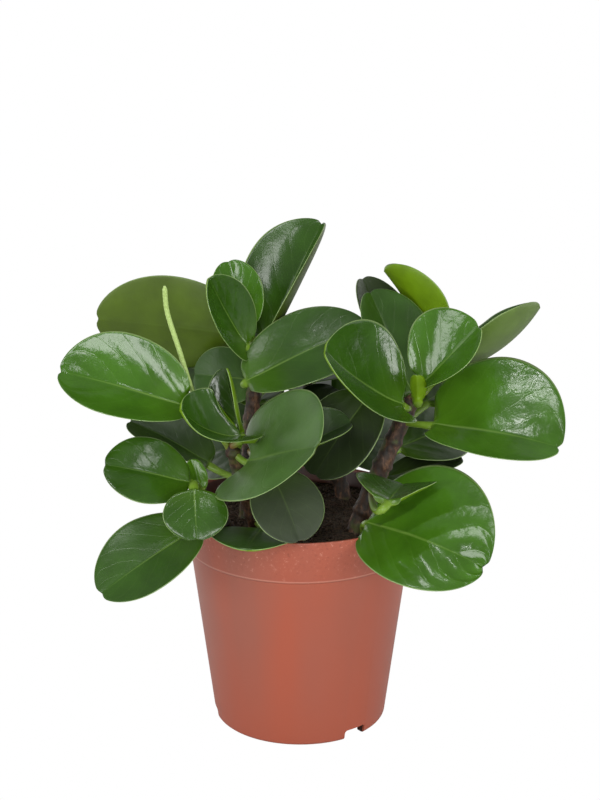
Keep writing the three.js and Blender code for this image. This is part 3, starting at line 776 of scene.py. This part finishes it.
leafFinish = {
    "around": 64,
    "petioleRows": 14,
    "bladeRows": 54,
    "evenAcross": 0.6,  # how evenly the grid is spread over the blade's width
    "crowdedEnds": 0.85,  # how closely its rows crowd at base and tip
    "petioleRadius": 1.7,
    "petioleKnee": 0.45,
    "foldShare": 0.5,
    "foldRound": 0.05,
    "funnel": 1.5,
    "bladeThickness": 1.7,
    "baseBluntness": 0.4,
    "tipBluntness": 0.5,
    "fullestShift": 1.06,
    "tipNotch": 1.7,
    "tipNotchWidth": 2.2,
    "midribGroove": 0.5,
    "midribWidth": 1.1,
    "wave": 0.8,
    "veins": 5.0,
    "veinRise": 0.5,
    "veinBend": 0.14,
    "mottleSize": 16.0,
    "dimpleSize": 6.0,
    "dimpleDepth": 0.2,
    "grainSize": 1.0,
    "grainDepth": 0.03,
    "glossyRoughness": 0.09,
    "mattRoughness": 0.46,
    "mottleRoughness": 0.06,
    "backRoughness": 0.42,
    # The shade green is painted shade, on leaf_centre_dark, leaf_centre_back and leaf_right_fold deep inside
    # the plant
    "faces": {"shade": "#1f2c11", "dark": "#253d10", "deep": "#2d4e10", "mid": "#3a6313",
              "fresh": "#4d7a12", "dusty": "#406028", "slate": "#343f29"},
    "backs": {"moss": "#3d4f12", "olive": "#485f05", "lime": "#688a0a", "pale": "#546c2a"},
    "yellowing": "#567d14",
    "marginAndHighlight": "#98b272",
    "rib": "#7c9c48",
    "petiole": "#6f8f2c",
    "petioleFoot": "#7c5a38",
}


# The blade's midrib is an arc from base to tip. Along and up follow it
def leafFrame(leaf):
    base, tip = Vector(leaf["base"]), Vector(leaf["tip"])
    chord = tip - base
    forward = chord.normalized()
    flatSide = forward.cross(Vector((0, 0, 1))).normalized()
    flatUp = flatSide.cross(forward)
    roll = math.radians(leaf["roll"])
    side = flatSide * math.cos(roll) - flatUp * math.sin(roll)
    lift = flatUp * math.cos(roll) + flatSide * math.sin(roll)
    bend = math.radians(leaf["bend"] or 1)
    radius = chord.length / (2 * math.sin(bend / 2))

    def at(v):
        slope = bend * (0.5 - v)
        place = (base + forward * radius * (math.sin(bend / 2) - math.sin(slope))
                 + lift * radius * (math.cos(slope) - math.cos(bend / 2)))
        along = forward * math.cos(slope) + lift * math.sin(slope)
        up = lift * math.cos(slope) - forward * math.sin(slope)
        return place, along, up

    root = bezier(stemPieces[leaf["on"]]["path"], leaf["at"])
    knee = base - at(0)[1] * leafFinish["petioleKnee"] * (root - base).length
    return side, at, (root, knee, base)


# Half the blade's width at v, from 0 at its base to 1 at its tip
def outline(leaf, v):
    f = leafFinish
    bluntness = mix(f["baseBluntness"], f["tipBluntness"], v)
    half = leaf["width"] / 2 * math.sin(math.pi * v ** f["fullestShift"]) ** bluntness
    return max(half, f["petioleRadius"] * f["funnel"] * (1 - v))


# A sphere's grid drawn out to a leaf: its first rows make the round petiole, and the rest the blade,
# where an angle of 0 or half a turn is the margin and the upper half of the turn is the face
def buildLeaf(leaf, number):
    f = leafFinish
    side, at, (root, knee, base) = leafFrame(leaf)
    rows = f["petioleRows"] + f["bladeRows"]
    bm = bmesh.new()
    bladeLayer, *lookLayers = [bm.verts.layers.float_vector.new(name)
                               for name in ("blade", "faceGreen", "backGreen", "finish")]
    look = (linearColour(f["faces"][leaf["face"]])[:3], linearColour(f["backs"][leaf["back"]])[:3],
            (leaf["bloom"], leaf["quilt"], 0))
    for vert in bmesh.ops.create_uvsphere(bm, u_segments=f["around"], v_segments=rows, radius=1.0)["verts"]:
        up, angle = onSphere(vert)
        row = round(up * rows)
        face = math.sin(angle)
        u = mix(math.cos(angle), 1 - 2 * abs(angle) / math.pi, f["evenAcross"])
        for layer, values in zip(lookLayers, look):
            vert[layer] = values

        # The petiole bends from the stem to the blade and widens like a funnel where it meets it
        if row < f["petioleRows"]:
            t = max(0, row - 1) / (f["petioleRows"] - 1)
            place = root * (1 - t) ** 2 + knee * 2 * t * (1 - t) + base * t * t
            heading = ((knee - root) * (1 - t) + (base - knee) * t).normalized()
            across = (side - heading * side.dot(heading)).normalized()
            above = across.cross(heading)
            thick = 0 if row == 0 else f["petioleRadius"]
            wide = thick * mix(1, f["funnel"], smoothStep((t - 0.55) / 0.45))
            vert.co = place + across * wide * math.cos(angle) + above * thick * math.sin(angle)
            vert[bladeLayer] = (math.cos(angle), t - 1, face)
            continue

        # The blade is half rolled and half folded at its midrib, and thin at its rounded margin
        share = (row - f["petioleRows"]) / f["bladeRows"]
        v = mix(share, (1 - math.cos(math.pi * share)) / 2, f["crowdedEnds"])
        closed = 0 if row == rows else 1
        half = closed * outline(leaf, v) * (1 + leaf["skew"] * u)
        profile = 0.5 * math.sqrt(max(0, 1 - u ** 8)) + 0.5 * (1 - u * u)
        halfThick = closed * mix(f["petioleRadius"] * abs(face), f["bladeThickness"] / 2 * profile,
                                 smoothStep(5 * v))
        curl = math.radians(max(1, mix(*leaf["cup"], v) * smoothStep(v / 0.04)))
        turn = curl * u
        lateral = half * u
        lobe = leaf["lobe"] + leaf["lean"] * u
        sweep = lobe * u * u * (2 * half / leaf["width"]) * (1 - v) ** 2
        notch = f["tipNotch"] * leaf["width"] / 60 * math.exp(-(lateral / f["tipNotchWidth"]) ** 2)
        notch *= smoothStep((v - 0.85) / 0.15)
        groove = f["midribGroove"] * math.exp(-(lateral / f["midribWidth"]) ** 2)
        groove *= smoothStep(8 * v) * (1 - 0.6 * v)
        wave = f["wave"] * u * u * noise.noise((v * 3.2 + number * 7, u * 1.1, number)) * smoothStep(4 * v)
        reach = 2 * half / curl * math.sin(curl / 2)
        foldRise = reach * math.sin(curl / 2) * (math.sqrt(u * u + f["foldRound"] ** 2) - f["foldRound"])
        across = mix(half / curl * math.sin(turn), reach * math.cos(curl / 2) * u, f["foldShare"])
        rise = mix(half / curl * (1 - math.cos(turn)), foldRise, f["foldShare"])
        place, along, above = at(v)
        offset = halfThick * (1 if face > 0 else -1)
        vert.co = (place - along * (sweep + notch) + side * (across - offset * math.sin(turn))
                   + above * (rise + offset * math.cos(turn) + wave - groove))
        vert[bladeLayer] = (u, v, face)
    bmesh.ops.recalc_face_normals(bm, faces=bm.faces)
    return bm


# Waxy cuticle over thick leaf tissue: deep green with a wet gloss on young leaves and a dull bloom on
# old ones, a fine pale midrib, a pale margin line that is partly painted highlight on the rounded edge, and
# veins that show mostly as puckers in the highlights
def waxyCuticle():
    f = leafFinish
    material, add = newMaterial("waxy succulent leaf")
    coord = add("TexCoord").outputs["Object"]
    blade, faceGreen, backGreen, finish = (add("Attribute", attribute_name=name).outputs["Vector"]
                                           for name in ("blade", "faceGreen", "backGreen", "finish"))
    u, v, face = add("SeparateXYZ", {"Vector": blade}).outputs
    bloom, quilt = add("SeparateXYZ", {"Vector": finish}).outputs[:2]
    mottle, dimple, grain = (
        add("TexNoise", {"Vector": coord, "Scale": perMetre / f[size], "Detail": detail})
        for size, detail in (("mottleSize", 3.0), ("dimpleSize", 2.0), ("grainSize", 2.0)))
    absU = add("Math", {0: u}, operation="ABSOLUTE")
    onFace = add("MapRange", {"Value": face, "From Min": -0.02, "From Max": 0.02})
    onBlade = add("MapRange", {"Value": v, "From Min": -0.03, "From Max": 0.03})

    # The midrib narrows from base to tip. It fades towards the tip, on the back and under bloom
    ribWidth = add("MapRange", {"Value": v, "From Max": 0.9, "To Min": 0.045, "To Max": 0.012})
    ribShare = add("Math", {0: absU, 1: ribWidth}, operation="DIVIDE")
    rib = add("MapRange", {"Value": ribShare, "From Min": 1.0, "From Max": 0.3})
    for fade in (add("MapRange", {"Value": v, "To Min": 0.55, "To Max": 0.1}),
                 add("MapRange", {"Value": onFace, "To Min": 0.2, "To Max": 1.0}),
                 add("MapRange", {"Value": bloom, "From Min": 0.3, "To Min": 1.0, "To Max": 0.35})):
        rib = add("Math", {0: rib, 1: fade}, operation="MULTIPLY")

    # Side veins rise from the midrib towards the tip. Between two of them the blade swells a little
    rise = add("Math", {0: absU, 1: f["veinRise"]}, operation="MULTIPLY")
    run = add("Math", {0: v, 1: rise}, operation="SUBTRACT")
    bent = add("Math", {0: mottle, 1: f["veinBend"], 2: run}, operation="MULTIPLY_ADD")
    steps = add("Math", {0: bent, 1: f["veins"]}, operation="MULTIPLY")
    saw = add("Math", {0: steps}, operation="FRACT")
    halfTurn = add("Math", {0: saw, 1: math.pi}, operation="MULTIPLY")
    swell = add("Math", {0: halfTurn}, operation="SINE")
    vein = add("MapRange", {"Value": swell, "From Min": 0.22, "From Max": 0.0, "To Max": 0.03})
    veinLine = add("MapRange", {"Value": swell, "From Min": 0.12, "From Max": 0.0, "To Max": 0.03})
    inland = add("MapRange", {"Value": absU, "From Min": 1.0, "From Max": 0.6})

    # Colours: face and back each mottled, the face yellower near its base, then rib, margin line (partly
    # painted highlight) and petiole
    shadeAmount = add("MapRange", {"Value": mottle, "From Min": 0.3, "From Max": 0.7,
                                   "To Min": 0.84, "To Max": 1.2})
    colour, mottledBack = (add("VectorMath", {0: green, 3: shadeAmount}, operation="SCALE")
                           for green in (faceGreen, backGreen))
    young = add("MapRange", {"Value": v, "From Min": 0.4, "From Max": 0.0, "To Max": 0.3})
    # The pale margin line is partly the leaf's paler rim and partly painted highlight along the rounded edge
    edge = add("MapRange", {"Value": absU, "From Min": 0.972, "From Max": 0.99, "To Max": 0.8})
    foot = add("MapRange", {"Value": v, "From Min": -1.0, "From Max": -0.7})
    yellowing, ribTone, marginAndHighlight, petioleFoot, petiole = (
        linearColour(f[tone]) for tone in ("yellowing", "rib", "marginAndHighlight", "petioleFoot", "petiole"))
    stalk = add("Mix", {0: foot, 6: petioleFoot, 7: petiole}, data_type="RGBA")
    for mask, tone in ((young, yellowing), (vein, ribTone)):
        colour = add("Mix", {0: mask, 6: colour, 7: tone}, data_type="RGBA")
    colour = add("Mix", {0: onFace, 6: mottledBack, 7: colour}, data_type="RGBA")
    for mask, tone in ((rib, ribTone), (edge, marginAndHighlight)):
        colour = add("Mix", {0: mask, 6: colour, 7: tone}, data_type="RGBA")
    colour = add("Mix", {0: onBlade, 6: stalk, 7: colour}, data_type="RGBA")

    # Relief in parts of a millimetre: puckers between veins, shallow dimples and a fine grain
    pucker = swell
    for amount in (quilt, inland, onFace):
        pucker = add("Math", {0: pucker, 1: amount}, operation="MULTIPLY")
    relief = add("Math", {0: dimple, 1: f["dimpleDepth"], 2: pucker}, operation="MULTIPLY_ADD")
    relief = add("Math", {0: grain, 1: f["grainDepth"], 2: relief}, operation="MULTIPLY_ADD")
    veinLine = add("Math", {0: veinLine, 1: onFace}, operation="MULTIPLY")
    relief = add("Math", {0: relief, 1: veinLine}, operation="ADD")
    relief = add("Math", {0: relief, 1: onBlade}, operation="MULTIPLY")
    bump = add("Bump", {"Strength": 1.0, "Distance": 0.0010, "Height": relief})

    # Gloss: the bloom dulls the face, and the back is always dull
    dull = add("Mix", {0: bloom, 2: f["glossyRoughness"], 3: f["mattRoughness"]}, data_type="FLOAT")
    dull = add("Math", {0: mottle, 1: f["mottleRoughness"], 2: dull}, operation="MULTIPLY_ADD")
    rough = add("Mix", {0: onFace, 2: f["backRoughness"], 3: dull}, data_type="FLOAT")
    surface = add("BsdfPrincipled", {"Base Color": colour, "Roughness": rough, "IOR": 1.45, "Normal": bump})
    add("OutputMaterial", {"Surface": surface})
    return material


cuticle = waxyCuticle()
for number, (name, leaf) in enumerate(leafPieces.items()):
    finishPiece(name + "_blade", buildLeaf({**usualLeaf, **leaf}, number), cuticle, name)
print("leaves made")


# Flower spike
spikePiece = {
    "points": ((-31, -35, 152), (-42, -31, 164), (-50, -33, 178), (-58, -34, 205), (-63, -33, 222),
               (-64, -34, 235)),
    "around": 36,
    "rows": 220,
    "radius": 1.2,
    "stalkRadius": 1.15,
    "stalkShare": 0.3,
    "bead": 0.07,
    "tipTaper": (0.45, 0.03),
    "budSize": 0.7,
    "colour": "#b5cc80",
    # shade is painted shade in the gaps between the buds
    "shade": "#94b056",
}


# The smooth curve through the spike's points: its four weights at t, and for its heading their slopes
def spikeStretch(t):
    points = [Vector(p) for p in spikePiece["points"]]
    place = min(t, 0.9999) * (len(points) - 1)
    i = int(place)
    p1, p2 = points[i], points[i + 1]
    p0 = points[i - 1] if i else p1 * 2 - p2
    p3 = points[i + 2] if i + 2 < len(points) else p2 * 2 - p1
    return place - i, p1, p2 - p0, 2 * p0 - 5 * p1 + 4 * p2 - p3, 3 * p1 - p0 - 3 * p2 + p3


def spikePoint(t):
    s, start, first, second, third = spikeStretch(t)
    return 0.5 * (2 * start + first * s + second * s * s + third * s ** 3)


def spikeHeading(t):
    s, start, first, second, third = spikeStretch(t)
    return (first + 2 * second * s + 3 * third * s * s).normalized()


# A plain stalk, then rows of low beads to the tip
def buildSpike():
    p = spikePiece

    def radiusAt(t, angle):
        share = max(0, (t - p["stalkShare"]) / (1 - p["stalkShare"]))
        body = mix(p["stalkRadius"], p["radius"], math.sin(math.pi * min(0.8, share)))
        beads = math.sin(t * 150 + angle * 4) * math.sin(angle * 5 - t * 60) * smoothStep(share * 8)
        return (body + p["bead"] * beads) * taper(t, *p["tipTaper"])

    return buildRod(spikePoint, spikeHeading, radiusAt, p["around"], p["rows"])


# Tiny packed flower buds: pale green beads, matt, with painted shade in the gaps between them
def packedBuds():
    p = spikePiece
    material, add = newMaterial("packed pale flower buds")
    buds = add("TexVoronoi", {"Vector": add("TexCoord").outputs["Object"], "Scale": perMetre / p["budSize"]})
    tint = add("ValToRGB", {"Fac": buds})
    for stop, tone in zip(tint.color_ramp.elements, ("colour", "shade")):
        stop.color = linearColour(p[tone])
    bump = add("Bump", {"Strength": 0.35, "Distance": 0.0002, "Height": buds}, invert=True)
    surface = add("BsdfPrincipled", {"Base Color": tint, "Roughness": 0.55, "Normal": bump})
    add("OutputMaterial", {"Surface": surface})
    return material


finishPiece("flower_spike_buds", buildSpike(), packedBuds(), "flower_spike")
print("spike made")
